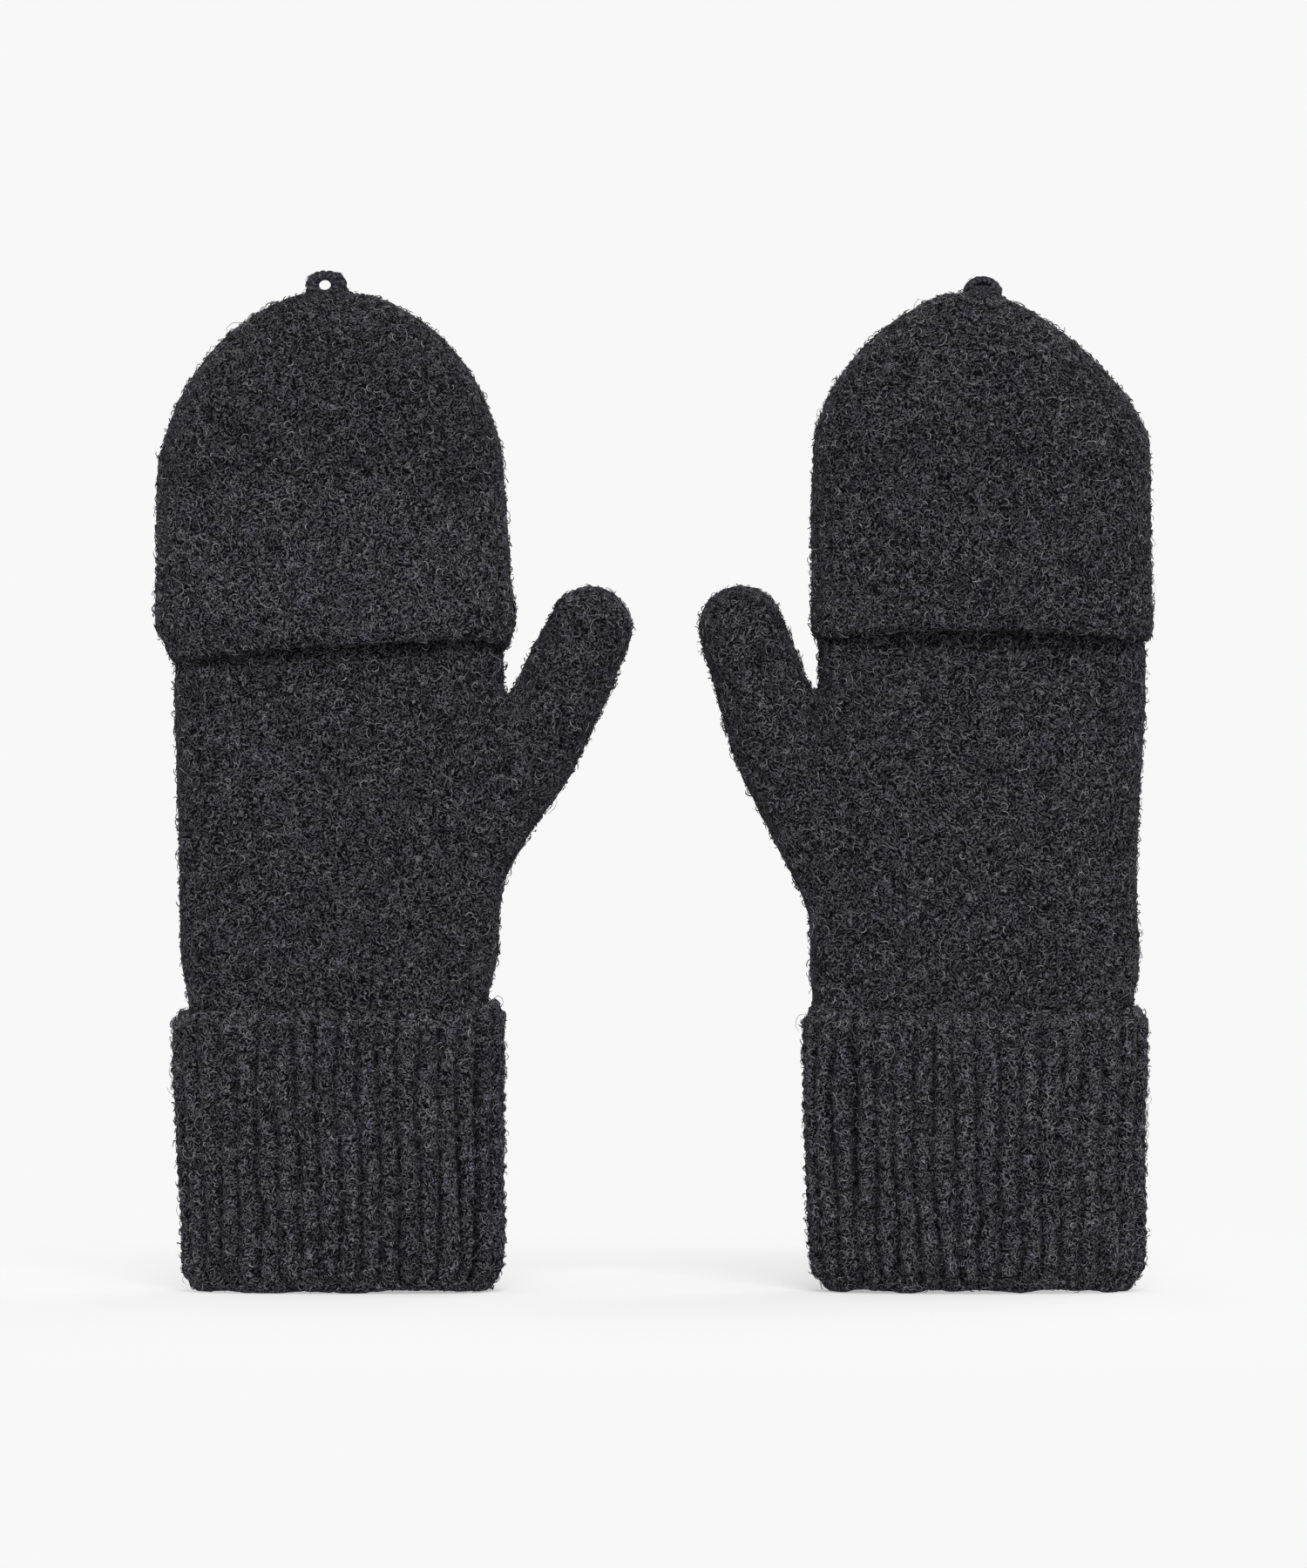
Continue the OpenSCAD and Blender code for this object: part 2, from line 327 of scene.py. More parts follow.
def raise_boucle(points, quads, seed, height=0.42, extra=None):
    """Raises boucle lumps on a mesh, and extra, in mm, with them. Returns (points, relief from -1 to 1)."""
    # the relief also drives painted shade: the wool materials darken the colour where it is low
    relief = boucle_relief(points, seed)
    lift = relief * height
    if extra is not None:
        lift = lift + extra
    return points + normals(points, quads) * lift[:, None], relief


# ---- Loose curls of yarn ----

CURL_POINTS = 6
CURL_SIDES = 3
MOST_TRIANGLES = 195_000
CURL_TRIANGLES = (CURL_POINTS - 1) * CURL_SIDES * 2 + 2
CURLS_PER_MM2 = 0.46
WISP_SHARE = 0.025
CLEAR_OF_FLOOR = 0.05


def curls(centres, outward, rng, radius=(0.45, 1.25), thick=(0.10, 0.20), lift=(0.0, 0.30)):
    """(points, triangles, tones) of small open loops of fibre, one at each centre, that stand off the knit.

    A few of them are wisps: wider, thinner and paler than the rest."""
    n = len(centres)
    tangent = rng.normal(size=(n, 3))
    tangent -= outward * np.sum(tangent * outward, 1)[:, None]
    tangent /= np.linalg.norm(tangent, axis=1)[:, None]
    across = np.cross(outward, tangent)
    tilt = rng.uniform(-0.25, 1.0, n)[:, None]
    second = across * np.cos(tilt) + outward * np.sin(tilt)
    third = np.cross(tangent, second)
    r = rng.uniform(*radius, n)
    span = rng.uniform(1.6, 4.6, n)
    start = rng.uniform(0, 2 * math.pi, n)
    width = rng.uniform(*thick, n)
    tone = rng.uniform(0, 1, n)
    wisp = rng.random(n) < WISP_SHARE
    r[wisp] *= 2.1
    width[wisp] *= 0.6
    tone[wisp] = 1.0
    middle = centres + outward * rng.uniform(*lift, n)[:, None]
    along = np.linspace(0, 1, CURL_POINTS)
    angle = start[:, None] + span[:, None] * along
    spread = r[:, None] * (1 + 0.25 * (along - 0.5) * rng.choice([-1, 1], n)[:, None])
    radial = np.cos(angle)[..., None] * tangent[:, None] + np.sin(angle)[..., None] * second[:, None]
    line = middle[:, None] + spread[..., None] * radial
    taper = width[:, None] * (0.45 + 0.55 * np.sin(math.pi * along) ** 0.5)
    turn = 2 * math.pi * np.arange(CURL_SIDES) / CURL_SIDES
    ring = (np.cos(turn)[None, None, :, None] * radial[:, :, None]
            + np.sin(turn)[None, None, :, None] * third[:, None, None])
    points = line[:, :, None] + taper[:, :, None, None] * ring
    k, s = np.meshgrid(np.arange(CURL_POINTS - 1), np.arange(CURL_SIDES), indexing="ij")
    a, b = k * CURL_SIDES + s, k * CURL_SIDES + (s + 1) % CURL_SIDES
    c, d = b + CURL_SIDES, a + CURL_SIDES
    last = (CURL_POINTS - 1) * CURL_SIDES
    one_curl = np.concatenate([np.stack([a, b, c], -1).reshape(-1, 3), np.stack([a, c, d], -1).reshape(-1, 3),
                               [[0, 2, 1]], [[last, last + 1, last + 2]]])
    faces = one_curl[None] + (np.arange(n) * CURL_POINTS * CURL_SIDES)[:, None, None]
    tones = np.repeat(tone, CURL_POINTS * CURL_SIDES)
    return points.reshape(-1, 3), faces.reshape(-1, 3), tones


def scatter(points, quads, keep, per_mm2, rng):
    """Random places on the quads whose centres pass keep(centres, normals), as (places, normals)."""
    a, b, c, d = (points[quads[:, k]] for k in range(4))
    flat = np.cross(c - a, d - b)
    area = np.linalg.norm(flat, axis=1) / 2
    facing = flat / np.maximum(2 * area, 1e-12)[:, None]
    area = area * keep((a + b + c + d) / 4, facing)
    count = min(int(area.sum() * per_mm2), MOST_TRIANGLES // CURL_TRIANGLES)
    pick = rng.choice(len(quads), count, p=area / area.sum())
    u, v = rng.random((2, count, 1))
    spot = (a[pick] * (1 - u) + b[pick] * u) * (1 - v) + (d[pick] * (1 - u) + c[pick] * u) * v
    return spot, facing[pick]


def add_curls(side, part, points, quads, keep, body, per_mm2, seed, **size):
    """Covers a knitted part with curls, where keep allows them."""
    rng = np.random.default_rng(seed)
    spots, facing = scatter(points, quads, keep, per_mm2, rng)
    fibres, faces, tones = curls(spots, facing, rng, **size)
    fibres[:, 2] = np.maximum(fibres[:, 2], CLEAR_OF_FLOOR)
    return add_piece(side, part + "_yarn_loops", fibres, faces, FIBRE, body, relief=tones)


# ---- Materials ----

class Nodes:
    """A material's node tree, with short calls to add to it."""

    def __init__(self, name):
        self.material = bpy.data.materials.new(name)
        self.material.use_nodes = True
        self.tree = self.material.node_tree
        self.shader = self.tree.nodes["Principled BSDF"]

    def add(self, kind, **values):
        node = self.tree.nodes.new(kind)
        for key, value in values.items():
            if hasattr(node, key) and key not in node.inputs:
                setattr(node, key, value)
            else:
                node.inputs[key].default_value = value
        return node

    def link(self, source, target):
        self.tree.links.new(source, target)

    def fill(self, sockets, values):
        """Links each socket to what it is given, or sets it to a plain value."""
        for socket, value in zip(sockets, values):
            if isinstance(value, bpy.types.NodeSocket):
                self.link(value, socket)
            else:
                socket.default_value = value

    def math(self, operation, *values, clamp=False):
        node = self.add("ShaderNodeMath", operation=operation, use_clamp=clamp)
        self.fill(node.inputs, values)
        return node.outputs[0]

    def vector(self, operation, *values, out="Vector"):
        node = self.add("ShaderNodeVectorMath", operation=operation)
        self.fill(node.inputs, values)
        return node.outputs[out]

    def position(self):
        """Object coordinates in mm."""
        return self.vector("MULTIPLY", self.add("ShaderNodeTexCoord").outputs["Object"], (1 / MM,) * 3)

    def noise(self, where, size, detail=2.0, distortion=0.0):
        node = self.add("ShaderNodeTexNoise", Scale=1 / size, Detail=detail, Distortion=distortion)
        self.link(where, node.inputs["Vector"])
        return node.outputs["Fac"]

    def ramp(self, value, *stops):
        """A colour ramp. Each stop is (position, colour)."""
        node = self.add("ShaderNodeValToRGB")
        band = node.color_ramp
        while len(band.elements) < len(stops):
            band.elements.new(0.5)
        for element, (at, colour) in zip(band.elements, stops):
            element.position = at
            element.color = (*colour, 1)
        self.link(value, node.inputs["Fac"])
        return node.outputs["Color"]

    def mix(self, factor, a, b, mode="MIX"):
        node = self.add("ShaderNodeMix", data_type="RGBA", blend_type=mode)
        a, b = ((*value, 1) if isinstance(value, tuple) else value for value in (a, b))
        self.fill((node.inputs[0], node.inputs[6], node.inputs[7]), (factor, a, b))
        return node.outputs[2]

    def attribute(self, name):
        return self.add("ShaderNodeAttribute", attribute_name=name).outputs["Fac"]

    def set_shader(self, colour=None, **values):
        """Links the shader's colour and sets other sockets, such as Sheen_Weight. Returns the material."""
        if colour is not None:
            self.link(colour, self.shader.inputs["Base Color"])
        for name, value in values.items():
            self.shader.inputs[name.replace("_", " ")].default_value = value
        return self.material

    def bump(self, height, depth_mm, strength=1.0):
        node = self.add("ShaderNodeBump", Strength=strength, Distance=depth_mm * MM)
        self.link(height, node.inputs["Height"])
        self.link(node.outputs["Normal"], self.shader.inputs["Normal"])


def hatching(n, where, cell, period, shift, low, high):
    """Short bent strokes, side by side in small tufts that each lie their own way. 0 to 1.

    Lengths are in mm. Each tuft has its own strength, from low to high, held between 0 and 1."""
    moved = n.vector("ADD", where, (shift, shift * 0.7, -shift))
    swirl = n.add("ShaderNodeTexNoise", Scale=1 / (cell * 0.95), Detail=1.0)
    n.link(moved, swirl.inputs["Vector"])
    bent = n.vector("MULTIPLY_ADD", swirl.outputs["Color"], (cell * 1.3,) * 3, moved)
    tufts = n.add("ShaderNodeTexVoronoi", Scale=1 / cell)
    n.link(bent, tufts.inputs["Vector"])
    way = n.vector("NORMALIZE", n.vector("SUBTRACT", tufts.outputs["Color"], (0.5, 0.5, 0.5)))
    across = n.vector("DOT_PRODUCT", bent, way, out="Value")
    wave = n.math("SINE", n.math("MULTIPLY", across, 2 * math.pi / period))
    crest = n.math("MULTIPLY_ADD", wave, 0.5, 0.5)
    stroke = n.math("POWER", crest, 4.0)
    tone = n.add("ShaderNodeTexWhiteNoise", noise_dimensions="3D")
    n.link(tufts.outputs["Position"], tone.inputs["Vector"])
    strength = n.math("MULTIPLY_ADD", tone.outputs["Value"], high - low, low, clamp=True)
    return n.math("MULTIPLY", stroke, strength)


def wool(name, hollow_shade, body, fibre, tuft=1.3, depth=0.45):
    """Boucle wool: paler strokes of curled fibre on near-black yarn, with painted shade in the hollows
    between lumps.

    Where the relief attribute is low, the colour falls to the first, near-black colour and fewer fibre
    strokes show:
    that is painted shade. tuft is the size of a tuft in mm. depth is how much the painted shade dims the
    fibre in a hollow against a lump."""
    n = Nodes(name)
    where = n.position()
    most = hatching(n, where, cell=tuft, period=0.84, shift=0.0, low=0.3, high=1.2)
    rest = hatching(n, where, cell=tuft * 0.8, period=0.70, shift=57.0, low=-1.5, high=1.4)
    strokes = n.math("MAXIMUM", most, rest)
    # painted shade: low relief gets the near-black hollow colour and less fibre
    lumps = n.math("MULTIPLY_ADD", n.attribute("relief"), 0.5, 0.5)
    ground_with_hollow_shade = n.mix(lumps, hollow_shade, body)
    fibre_share_with_hollow_shade = n.math("MULTIPLY_ADD", lumps, depth, 0.75 - depth / 2, clamp=True)
    yarn = n.mix(n.math("MULTIPLY", strokes, fibre_share_with_hollow_shade), ground_with_hollow_shade, fibre)
    shade = n.ramp(n.noise(where, 12.0, detail=3.0), (0.32, (0.91, 0.91, 0.92)), (0.68, (1.08, 1.08, 1.08)))
    tint = n.ramp(n.noise(where, 4.0), (0.36, (0.98, 0.965, 1.06)), (0.64, (1.03, 1.02, 0.96)))
    yarn = n.mix(1.0, n.mix(1.0, yarn, shade, "MULTIPLY"), tint, "MULTIPLY")
    n.bump(n.math("ADD", n.math("MULTIPLY", strokes, 0.8), lumps), 0.30, 0.8)
    return n.set_shader(yarn, Roughness=0.9, Specular_IOR_Level=0.03, Sheen_Weight=0.02, Sheen_Roughness=0.5)


def loose_fibre(name, dark, pale):
    """The yarn that stands off the knit: each curl has its own tone."""
    n = Nodes(name)
    between = tuple(d + (p - d) * 0.35 for d, p in zip(dark, pale))
    own = n.ramp(n.attribute("relief"), (0.3, dark), (0.7, between), (1.0, pale))
    flecks = n.ramp(n.noise(n.position(), 1.2), (0.3, (0.7, 0.7, 0.7)), (0.7, (1.2, 1.2, 1.2)))
    colour = n.mix(1.0, own, flecks, "MULTIPLY")
    return n.set_shader(colour, Roughness=0.7, Specular_IOR_Level=0.06, Sheen_Weight=0.04)


def horn():
    """Dark polished horn with fine streaks."""
    n = Nodes("dark_horn")
    where = n.position()
    streaks = n.noise(where, 2.4, detail=4.0, distortion=2.2)
    stops = ((0.3, (0.010, 0.009, 0.009)), (0.62, (0.028, 0.024, 0.022)), (0.8, (0.075, 0.06, 0.05)))
    polish = n.ramp(n.noise(where, 0.6, detail=3.0), (0.3, (0.28,) * 3), (0.7, (0.42,) * 3))
    n.link(polish, n.shader.inputs["Roughness"])
    n.bump(n.noise(where, 0.35), 0.02, 0.5)
    return n.set_shader(n.ramp(streaks, *stops), Specular_IOR_Level=0.22)


def thread_material():
    """Twisted sewing thread."""
    n = Nodes("sewing_thread")
    fuzz = n.noise(n.position(), 0.22, detail=3.0)
    colour = n.ramp(fuzz, (0.3, (0.02, 0.02, 0.023)), (0.7, (0.075, 0.075, 0.082)))
    n.bump(fuzz, 0.05, 0.8)
    return n.set_shader(colour, Roughness=0.7, Sheen_Weight=0.2)


# the first colour of each wool is painted shade: the near-black given to the hollows between lumps
HOLLOW_SHADE, YARN_BODY = (0.0010, 0.0009, 0.0016), (0.0014, 0.0013, 0.0024)
WOOL = wool("boucle_wool", HOLLOW_SHADE, YARN_BODY, (0.113, 0.112, 0.128))
# depth 1.15 makes the painted shade in the rib grooves stronger
RIB_WOOL = wool("ribbed_boucle_wool", HOLLOW_SHADE, YARN_BODY, (0.125, 0.124, 0.142), depth=1.15)
INNER_WOOL = wool("half_finger_wool", (0.0010, 0.0010, 0.0014), (0.0045, 0.0045, 0.0064), (0.07, 0.07, 0.082),
                  tuft=1.7)
CORD = wool("loop_cord", (0.004, 0.004, 0.0048), (0.024, 0.023, 0.030), (0.090, 0.089, 0.100), tuft=1.2)
FIBRE = loose_fibre("loose_wool_fibre", (0.002, 0.002, 0.0030), (0.155, 0.154, 0.170))
HORN = horn()
THREAD = thread_material()

# ---- Tubes: cuffs and half fingers ----


def oval_ring(left, right, mid_y, half_t, columns, power=KNIT_POWER):
    """Evenly spaced points round an oval."""
    samples = 1441
    t = np.linspace(0, 2 * math.pi, samples)
    bend = 2 / power
    x = (left + right) / 2 + (right - left) / 2 * np.sign(np.cos(t)) * np.abs(np.cos(t)) ** bend
    y = mid_y + half_t * np.sign(np.sin(t)) * np.abs(np.sin(t)) ** bend
    along = np.concatenate([[0], np.cumsum(np.hypot(np.diff(x), np.diff(y)))])
    at = np.arange(columns) / columns * along[-1]
    return np.stack([np.interp(at, along, x), np.interp(at, along, y)], 1)


def tube(rows, columns, power=KNIT_POWER):
    """A closed mesh round a loop of rows, as (points, quads, share of the way round at each point).

    Each row is (left, right, middle y, half thickness, z)."""
    points = np.concatenate([
        np.column_stack([oval_ring(*row[:4], columns, power), np.full(columns, row[4])]) for row in rows])
    j, i = np.meshgrid(np.arange(len(rows)), np.arange(columns), indexing="ij")
    a, b = j * columns + i, j * columns + (i + 1) % columns
    up = (j + 1) % len(rows) * columns
    c, d = up + (i + 1) % columns, up + i
    return points, np.stack([a, b, c, d], -1).reshape(-1, 4), np.tile(np.arange(columns) / columns, len(rows))


def wall_rows(outline, low, high, wall, step, hem=0.0, fold=0.0):
    """Rows up the outside of a knitted tube, over its top edge, down its inside and back under.

    outline(z) gives (left, right, middle y, half thickness). hem rolls the top edge outward by that many mm.
    fold is how much wider than its wall the bottom is, where the fabric turns in on itself."""
    rows = []

    def add(inset, z, level):
        """A row at height z, inset mm inside the outline at level."""
        left, right, mid, half = outline(level)
        rows.append((left + inset, right - inset, mid, half - inset, z))

    edge = wall / 2
    foot = (wall + fold) / 2
    for z in np.arange(low + foot, high - edge, step):
        add(-hem * ease(z, high - 7, high - 3.5) + 2 * hem * ease(z, high - 3.5, high - edge), z, z)
    for a in np.linspace(0, math.pi, 7):
        add(edge + hem - edge * math.cos(a), high - edge + edge * math.sin(a), high - edge)
    for z in np.linspace(high - edge - 1, low + foot + 1.5, 14):
        add(wall, z, z)
    for a in np.linspace(0, math.pi, 9):
        add(foot + foot * math.cos(a), low + foot - foot * math.sin(a), low + foot)
    return rows[:-1]


def rib_relief(share, z, ribs, seed, depth, low, high):
    """Height in mm of soft, slightly wandering ribs, each one a column of stitches. They are stronger at low.

    share is how far round the tube each point is."""
    girth = 220
    stitch_height = 3.3
    spots = np.column_stack([share * girth, np.zeros_like(z), z])
    wander = 0.16 * noise(spots * np.array([1, 1, 0.35]), 6.0, seed) + 0.10 * noise(spots, 11.0, seed + 1)
    turn = share * ribs + wander
    ridge = np.abs(np.cos(math.pi * turn)) ** 0.75
    number = np.floor(turn + 0.5)
    stitch = np.cos(2 * math.pi * (z / stitch_height + number * 0.37 + 0.3 * noise(spots, 7.0, seed + 2)))
    strength = 0.92 + 0.24 * noise(spots, 16.0, seed + 3) + 0.18 * ease(z, high, low)
    return depth * strength * (ridge - 0.62) + 0.26 * stitch * ridge


def cuff_outline(side, inset):
    """The turned-up layer's outline, inset by that many mm. At inset 0 it rounds in at the fold."""
    cuff = SHAPE[side]["cuff"]
    outer, thumb = curve([(s[0], s[1]) for s in cuff]), curve([(s[0], s[2]) for s in cuff])

    def at(z):
        share = z / CUFF_TOP
        tuck = 2.6 * (1 - ease(z, 0, 7)) * (inset == 0)
        half = CUFF_HALF[1] - inset - tuck - 0.4 - 1.6 * ease(share, 0.88, 1.0)
        return outer(share) + inset + tuck, thumb(share) - inset - tuck, 0.0, half

    return at


CUFF_RIBS = 38


def make_turned_up_cuff(side, seed):
    """The turned-up layer with its fold at the bottom and a rolled edge at the top."""
    columns = CUFF_RIBS * 9
    outline = cuff_outline(side, 0.0)
    rows = wall_rows(outline, 0.0, CUFF_TOP - 0.2, wall=3.0, step=0.8, hem=0.6, fold=3.4)
    points, quads, share = tube(rows, columns)
    row = np.repeat(np.arange(len(rows)), columns)
    z = points[:, 2]
    last_outside = np.count_nonzero(np.diff([r[4] for r in rows]) > 0) - 2
    outside = (row < last_outside).astype(float)
    fade = outside * ease(z, 1.0, 5.0) * (0.35 + 0.65 * ease(z, CUFF_TOP, CUFF_TOP - 7))
    ribbing = rib_relief(share, z, CUFF_RIBS, seed, depth=2.1, low=10, high=CUFF_TOP) * fade
    wander = 0.6 * noise(points * np.array([0, 0, 1]), 12.0, seed + 9)
    from_groove = points[:, 0] - outline(z)[1] + SHAPE[side]["groove"] + wander
    groove = np.exp(-((from_groove / 0.9) ** 2)) * (points[:, 1] < 0)
    ribbing = ribbing * (0.86 + 0.2 * ease(points[:, 0], -20, 35)) - groove * fade
    points, relief = raise_boucle(points, quads, seed + 20, 0.34, ribbing)
    # painted shade: the rib height and the deep groove go into the colour, darkening the grooves between ribs
    relief = relief * 0.5 + np.clip(ribbing, -1.2, 0.8) + 0.15
    plan = points * np.array([1, 1, 0])
    lift = SHAPE[side]["cuff_lift"] * ease(points[:, 0], 28, 43)
    points[:, 2] += (lift + 0.8 * noise(plan, 9.0, seed + 8)) * ease(points[:, 2], CUFF_TOP - 9, CUFF_TOP)
    points[:, 2] += (0.5 + 0.6 * noise(plan, 6.0, seed + 7)) * ease(points[:, 2], 5, 0)
    points[:, 2] = np.maximum(points[:, 2], CLEAR_OF_FLOOR)
    add_piece(side, "cuff_turnup", points, quads, RIB_WOOL, "cuff", ["cuff_turnback"], relief)
    middle = (outline(40)[0] + outline(40)[1]) / 2

    def on_outside(centres, facing):
        out = (centres[:, 0] - middle) * facing[:, 0] / 6 + centres[:, 1] * facing[:, 1]
        top = (facing[:, 2] > 0.3) & (centres[:, 2] > CUFF_TOP - 4)
        return ((out > 2.0) | top) & (centres[:, 2] > 1.2)

    add_curls(side, "cuff_turnup", points, quads, on_outside, "cuff", CURLS_PER_MM2, seed + 30)


def make_inner_cuff(side, seed):
    """The layer that the turned-up one hides. It shows when the cuff is unrolled."""
    columns = CUFF_RIBS * 7
    turnup = cuff_outline(side, CUFF_HALF[0] - INNER_HALF[0] + 0.5)
    palm = palm_outline(side, 0.0)

    def sleeve(z):
        """Runs on from the palm into the turned-up layer."""
        share = ease(z, CUFF_TOP, CUFF_TOP - 12)
        return tuple(a + (b - a) * share for a, b in zip(palm, turnup(z)))

    rows = wall_rows(sleeve, FOLD_TOP, CUFF_TOP + 0.6, wall=2.6, step=1.2)
    points, quads, share = tube(rows, columns)
    ribbing = rib_relief(share, points[:, 2], CUFF_RIBS, seed + 5, depth=1.1, low=10, high=CUFF_TOP) - 0.35
    ribbing = ribbing * ease(points[:, 2], CUFF_TOP, CUFF_TOP - 6)
    points, relief = raise_boucle(points, quads, seed + 21, 0.24, ribbing)
    # painted shade: the rib height goes into the colour as well, darkening the grooves
    add_piece(side, "cuff_inner_layer", points, quads, RIB_WOOL, "hand", ["cuff_inner"],
              relief * 0.6 + ribbing * 0.6)


def make_half_finger(side, index, seed):
    """An open half finger with a narrow ribbed hem."""
    part = FINGERS[index] + "_half_finger"
    lo, hi = local_box(side, part)
    mid_x, mid_y, r = (lo[0] + hi[0]) / 2, (lo[1] + hi[1]) / 2, (hi[0] - lo[0]) / 2
    low, high = lo[2] - 1.5, hi[2]

    def outline(z):
        waist = 0.5 * math.sin(math.pi * min(max((z - low) / (high - low), 0), 1))
        return mid_x - r + waist, mid_x + r - waist, mid_y, r - waist

    rows = wall_rows(outline, low, high, wall=2.2, step=0.7, hem=0.25)
    ribs = 16
    points, quads, share = tube(rows, columns=ribs * 6, power=2.15)
    hem = ease(points[:, 2], high - 6, high - 4.5)
    ribbing = (0.22 + 0.2 * hem) * (np.abs(np.cos(math.pi * share * ribs)) - 0.6)
    points, relief = raise_boucle(points, quads, seed, 0.24, ribbing)
    add_piece(side, part + "_knit", points, quads, INNER_WOOL, "hand", [part], relief)

    def on_outside(centres, facing):
        return (centres[:, 0] - mid_x) * facing[:, 0] + (centres[:, 1] - mid_y) * facing[:, 1] > 4

    add_curls(side, part, points, quads, on_outside, "hand", 0.5, seed + 7,
              radius=(0.35, 0.7), thick=(0.07, 0.11))


# ---- Hand and thumb ----

HAND_LOW = CUFF_TOP - 2.0
HAND_WALL = 2.7
SEAM_AT = 49.0
SEAM_OVERLAP = 1.6
FINGER_BORE_R = 7.6
FINGER_BORE_DEPTH = 5.5


def palm_outline(side, share):
    """(left, right, middle y, half thickness) of the palm at a share of its height."""
    palm = SHAPE[side]["palm"]
    left = curve([(s[0], s[1]) for s in palm])(share)
    right = curve([(s[0], s[2]) for s in palm])(share)
    half_t = HAND_HALF_T - 0.3 - 0.9 * (1 - ease(share, 0.0, 0.2)) - 1.1 * ease(share, 0.72, 1.0)
    return left, right, 0.8 * ease(share, 0.7, 1.0), half_t


def palm_field(side, x, y, z):
    """Distance to the outside of the palm, which rounds over at the finger roots."""
    outline = palm_outline(side, (z - CUFF_TOP) / (ROOT_Z - CUFF_TOP))
    body = distance(oval(x, y, *outline) + 0 * z)
    return -join(-body, ROOT_Z + 0.4 - z, 5.0)


def thumb_field(side, x, y, z):
    """(distance to the thumb and its gusset, distance along the thumb's axis)."""
    shape = SHAPE[side]
    start, tip = np.array(shape["gusset"], float), np.array(shape["thumb_tip"], float)
    length = np.hypot(*(tip - start))
    ux, uz = (tip - start) / length
    along = (x - start[0]) * ux + (z - start[1]) * uz
    held = np.clip(along, 0, length)
    away = np.sqrt((x - start[0] - held * ux) ** 2 + (z - start[1] - held * uz) ** 2 + (y * 1.06) ** 2)
    return away - curve(shape["thumb_r"])(held), along


def make_hand(side, seed):
    """The palm with its gusset, and the thumb stall above the gusset's ring."""
    lo, hi = np.array([-52.0, -19.0, HAND_LOW - 4]), np.array([86.0, 19.0, 195.0])
    x, y, z = grid(lo, hi)
    palm = palm_field(side, x, y, z)
    thumb, along = thumb_field(side, x, y, z)
    whole = soften(join(palm, thumb, 3.4), 2)
    shell = cut(whole, -(whole + HAND_WALL))
    for finger in FINGERS:
        f_lo, f_hi = local_box(side, finger + "_half_finger")
        bore = np.hypot(x - (f_lo[0] + f_hi[0]) / 2, y - (f_lo[1] + f_hi[1]) / 2) - FINGER_BORE_R
        bore = cut(bore, ROOT_Z - FINGER_BORE_DEPTH - z) + 0 * whole
        shell = cut(shell, -bore)
    beyond_seam = cut(SEAM_AT - along, 0.6 - palm)
    stall = cut(shell, cut(SEAM_AT - SEAM_OVERLAP - along, -0.6 - palm))
    hand = cut(cut(shell, -beyond_seam), HAND_LOW - z)
    parts = (("palm", hand, "hand_tube"), ("thumb", stall, "thumb_stall"))
    for order, (part, field, node) in enumerate(parts):
        points, quads = surface(field, lo)
        outer_face = facing_out(whole, lo, points)
        points, relief = raise_boucle(points, quads, seed)
        add_piece(side, part, points, quads, WOOL, "hand", [node], relief)
        keep = curl_rule(outer_face, quads)
        add_curls(side, part, points, quads, keep, "hand", CURLS_PER_MM2, seed + 40 + order)


def facing_out(field, lo, points, depth=1.1):
    """Which points lie on a field's surface or less than depth under it, not on the inside of its shell."""
    at = np.clip(np.round((points - lo) / STEP).astype(int), 0, np.array(field.shape) - 1)
    return field[at[:, 0], at[:, 1], at[:, 2]] > -depth


def curl_rule(outer_face, quads):
    """A rule for scatter(): curls grow on the quads whose points are all on the outer face."""
    on = outer_face[quads].all(axis=1)
    return lambda centres, facing: on


# ---- Cap ----

DOME_TOP = TIP_Z + 0.9
DOME_FOOT = 214
BAND_TOP = 216
BAND_COLUMN = 2.9


def band_cut(z):
    """How far back the cap's band reaches round the sides, below the hinge line."""
    return 5.5 + (z - RIM_Z) * 0.55


def cap_edge(side, which, z):
    """Distance from the centre line to an edge of the cap: a rounded top, straight sides and a soft lip."""
    shape = SHAPE[side]
    at_dome, at_hinge, dome_z, power = shape["dome"][which]
    number = 0 if which == "outer" else 1
    u = np.clip((z - dome_z) / (DOME_TOP - dome_z), 0, 0.9995)
    half = at_dome + (at_hinge - at_dome) * ease(z, dome_z, HINGE_Z + 8)
    half = half * (1 - u**power) ** (1 / power)
    lip = shape["bulge"][number] * np.exp(-(((z - RIM_Z - 9) / 7) ** 2))
    return half + lip - shape["tuck"][number] * ease(z, RIM_Z + 9.5, RIM_Z - 7.5)


def cap_field(side, x, y, z):
    """Distance to the cap's outside, which tapers up the dome and swells out over the palm at its lip."""
    outer, thumb = cap_edge(side, "outer", z), cap_edge(side, "thumb", z)
    u = np.clip((z - DOME_FOOT) / (DOME_TOP - DOME_FOOT), 0, 0.9995)
    lip = 0.9 * np.exp(-(((z - RIM_Z - 9) / 6) ** 2)) - 1.2 * ease(z, RIM_Z + 7, RIM_Z - 2)
    thick = (CAP_HALF_T - 0.4) * np.sqrt(1 - u**2.5) + lip * (y < 0)
    return distance(oval(x, y, -outer, thumb, CAP_Y, thick) + 0 * z)


